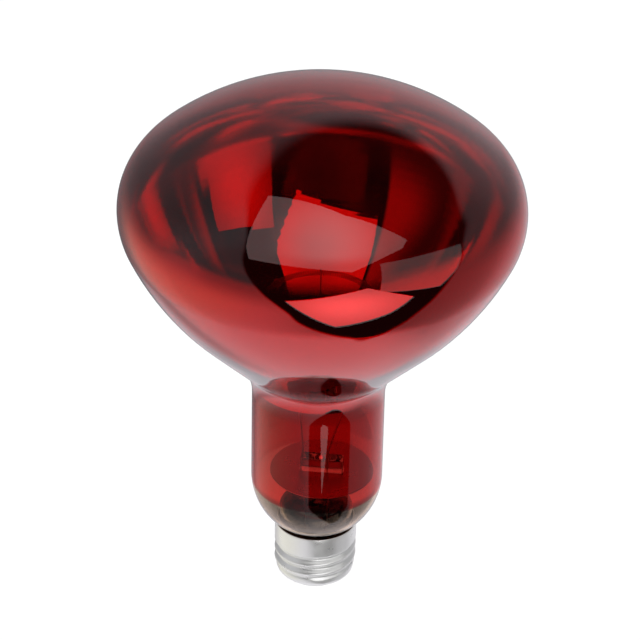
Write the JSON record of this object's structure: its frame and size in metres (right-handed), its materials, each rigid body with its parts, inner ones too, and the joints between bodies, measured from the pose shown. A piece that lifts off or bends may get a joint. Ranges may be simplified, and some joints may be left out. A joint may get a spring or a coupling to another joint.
{
  "type": "infrared heat lamp bulb",
  "caption": "Reflector heat lamp bulb with a red blown glass envelope, a mirrored back, a glass stem with a coiled filament and a screw cap.",
  "frame": {"origin": "lowest point of the centre contact, on the lamp's axis", "axes": "+Z along the lamp's axis from the cap to the domed face, -Y towards the front"},
  "size_m": [0.125, 0.125, 0.1766],
  "materials": {
    "red_glass": "glossy glass with a red coat, clear below the coat's edge near the cap",
    "clear_glass": "clear gloss",
    "mirror": "deposited aluminium",
    "shield_metal": "rolled sheet",
    "lead_wire": "nickel wire",
    "support_wire": "drawn wire",
    "copper_wire": "drawn copper",
    "tungsten": "coiled wire",
    "cap_aluminium": "satin rolled",
    "black_glass": "poured glass gloss",
    "contact_brass": "stamped",
    "solder": "smooth solder",
    "cement": "baked matt cement"
  },
  "bodies": {
    "root": {"glass_envelope": "red_glass", "mirror_film": "mirror", "stem_glass": "clear_glass", "exhaust_tube": "clear_glass", "bead_bar": "clear_glass", "heat_shield_disc": "shield_metal", "lead_inner_left": "lead_wire", "lead_inner_right": "lead_wire", "seal_wire_left": "copper_wire", "seal_wire_right": "copper_wire", "lead_outer_centre": "copper_wire", "lead_outer_side": "copper_wire", "filament_coil": "tungsten", "screw_shell": "cap_aluminium", "base_insulator": "black_glass", "centre_contact": "contact_brass", "contact_solder": "solder", "side_solder": "solder", "cap_cement": "cement", "filament_support_1": "support_wire", "filament_support_2": "support_wire", "filament_support_3": "support_wire", "filament_support_4": "support_wire", "filament_support_5": "support_wire"}
  },
  "joints": []
}
